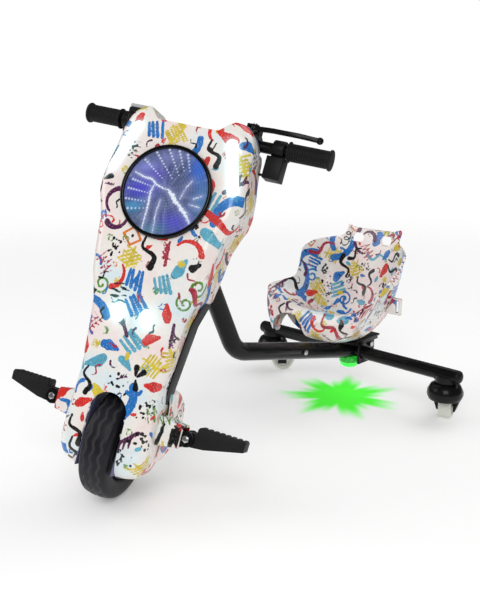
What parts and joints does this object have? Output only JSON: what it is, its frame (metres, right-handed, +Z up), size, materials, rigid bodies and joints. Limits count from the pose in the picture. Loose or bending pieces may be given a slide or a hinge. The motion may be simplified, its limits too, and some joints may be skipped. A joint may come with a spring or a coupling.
{
  "type": "drift scooter",
  "caption": "Low three-wheeled electric drift scooter: powered, steered front wheel under a moulded shell, cranked tube frame, swivel casters and a bucket seat.",
  "frame": {"origin": "middle of the scooter's own box, on the ground", "axes": "+Z up, -Y forwards, +X to the rider's left"},
  "size_m": [0.6196, 0.9266, 0.7272],
  "materials": {
    "printed_shell": "glossy off-white with an all-over many-coloured paint-stroke print",
    "frame_paint": "satin black powder coat",
    "black_plastic": "fine satin black",
    "rubber": "matt black",
    "tyre": "matt black tread",
    "hub": "black painted cast cover",
    "steel": "zinc plated",
    "alloy": "plain sheet",
    "liner_plastic": "satin slate blue",
    "disc_mirror": "smoked two-way mirror with rows of light points",
    "lamp_lens": "clear frosted lens, lit white to cyan",
    "green_lens": "clear green dome, lit",
    "display_grey": "pale grey window",
    "battery_wrap": "blue shrink wrap",
    "caster_white": "milky polyurethane"
  },
  "bodies": {
    "frame": {"main_frame": "frame_paint", "lower_head_bearing": "steel", "upper_head_bearing": "steel", "seat_bracket": "frame_paint", "bracket_bolt": "steel", "frame_lock_bolt": "steel", "under_lamp_housing": "black_plastic", "under_lamp_lens": "green_lens", "end_plug_left": "black_plastic", "end_plug_right": "black_plastic"},
    "seat": {"seat_shell": "printed_shell", "seat_slider": "frame_paint", "belt_guide": "printed_shell"},
    "steering": {"front_fork": "frame_paint", "wheel_axle": "steel", "axle_nut_left": "steel", "axle_nut_right": "steel", "front_shell": "printed_shell", "back_cover": "black_plastic", "rear_fender": "printed_shell", "wheel_liner": "liner_plastic", "disc_bezel": "black_plastic", "disc_lens": "disc_mirror", "disc_board": "black_plastic", "disc_cup": "black_plastic", "strip_lens_left": "lamp_lens", "strip_lens_right": "lamp_lens", "headlamp_lens_left": "lamp_lens", "headlamp_lens_right": "lamp_lens", "battery_tray": "alloy", "battery_pack": "battery_wrap", "motor_controller": "alloy", "handlebar_stem": "frame_paint", "handlebar": "frame_paint", "grip_left": "rubber", "grip_right": "rubber", "display_housing": "black_plastic", "display_window": "display_grey", "brake_perch": "frame_paint", "lever_pin": "steel", "switch_pod": "black_plastic", "switch_cable": "rubber", "peg_bolt_left": "steel", "peg_bolt_right": "steel"},
    "front_wheel": {"tyre": "tyre", "hub_motor": "hub"},
    "throttle": {"thumb_throttle": "black_plastic"},
    "brake": {"brake_lever": "frame_paint"},
    "button": {"power_button": "display_grey"},
    "rocker": {"mode_rocker": "black_plastic"},
    "peg_left": {"foot_peg_left": "rubber"},
    "peg_right": {"foot_peg_right": "rubber"},
    "swivel_left": {"caster_fork_left": "frame_paint"},
    "swivel_right": {"caster_fork_right": "frame_paint"},
    "roller_left": {"caster_wheel_left": "caster_white"},
    "roller_right": {"caster_wheel_right": "caster_white"}
  },
  "joints": [
    {"name": "steer", "type": "hinge", "parent": "frame", "child": "steering", "pos_m": [0.00006, -0.36138, 0.10447], "axis": [0, 0.3827, 0.9239], "range_deg": [-75, 25]},
    {"name": "front_spin", "type": "hinge", "parent": "steering", "child": "front_wheel", "pos_m": [0.00006, -0.36138, 0.10447], "axis": [0.9063, 0.3904, -0.1617], "continuous": true},
    {"name": "throttle_press", "type": "hinge", "parent": "steering", "child": "throttle", "pos_m": [-0.15739, -0.18785, 0.69221], "axis": [-0.9063, -0.3904, 0.1617], "range_deg": [0, 30], "stiffness_Nm_per_rad": 0.3, "springref_deg": -17.19},
    {"name": "brake_pull", "type": "hinge", "parent": "steering", "child": "brake", "pos_m": [0.10271, -0.09719, 0.68063], "axis": [0, 0.3827, 0.9239], "range_deg": [0, 10], "stiffness_Nm_per_rad": 2, "springref_deg": -8.59},
    {"name": "button_press", "type": "slide", "parent": "steering", "child": "button", "axis": [0.4226, -0.8373, 0.3468], "range_m": [0, 0.0025], "stiffness_N_per_m": 400, "springref_m": -0.001},
    {"name": "rocker_tilt", "type": "hinge", "parent": "steering", "child": "rocker", "pos_m": [0.12943, -0.06777, 0.59225], "axis": [0.9063, 0.3904, -0.1617], "range_deg": [-9, 9]},
    {"name": "peg_fold_left", "type": "hinge", "parent": "steering", "child": "peg_left", "pos_m": [0.1357, -0.30299, 0.13495], "axis": [0.4226, -0.8373, 0.3468], "range_deg": [0, 60]},
    {"name": "peg_fold_right", "type": "hinge", "parent": "steering", "child": "peg_right", "pos_m": [-0.11951, -0.41293, 0.18049], "axis": [-0.4226, 0.8373, -0.3468], "range_deg": [0, 60]},
    {"name": "caster_swivel_left", "type": "hinge", "parent": "frame", "child": "swivel_left", "pos_m": [0.26806, 0.38062, 0.1], "axis": [0, 0, 1], "continuous": true},
    {"name": "caster_swivel_right", "type": "hinge", "parent": "frame", "child": "swivel_right", "pos_m": [-0.26794, 0.38062, 0.1], "axis": [0, 0, 1], "continuous": true},
    {"name": "caster_spin_left", "type": "hinge", "parent": "swivel_left", "child": "roller_left", "pos_m": [0.26035, 0.40754, 0.0315], "axis": [0.9613, 0.2756, 0], "continuous": true},
    {"name": "caster_spin_right", "type": "hinge", "parent": "swivel_right", "child": "roller_right", "pos_m": [-0.24779, 0.40007, 0.0315], "axis": [0.6947, -0.7193, 0], "continuous": true},
    {"name": "seat_slide", "type": "slide", "parent": "frame", "child": "seat", "axis": [0, 1, 0], "range_m": [-0.015, 0.03]}
  ]
}
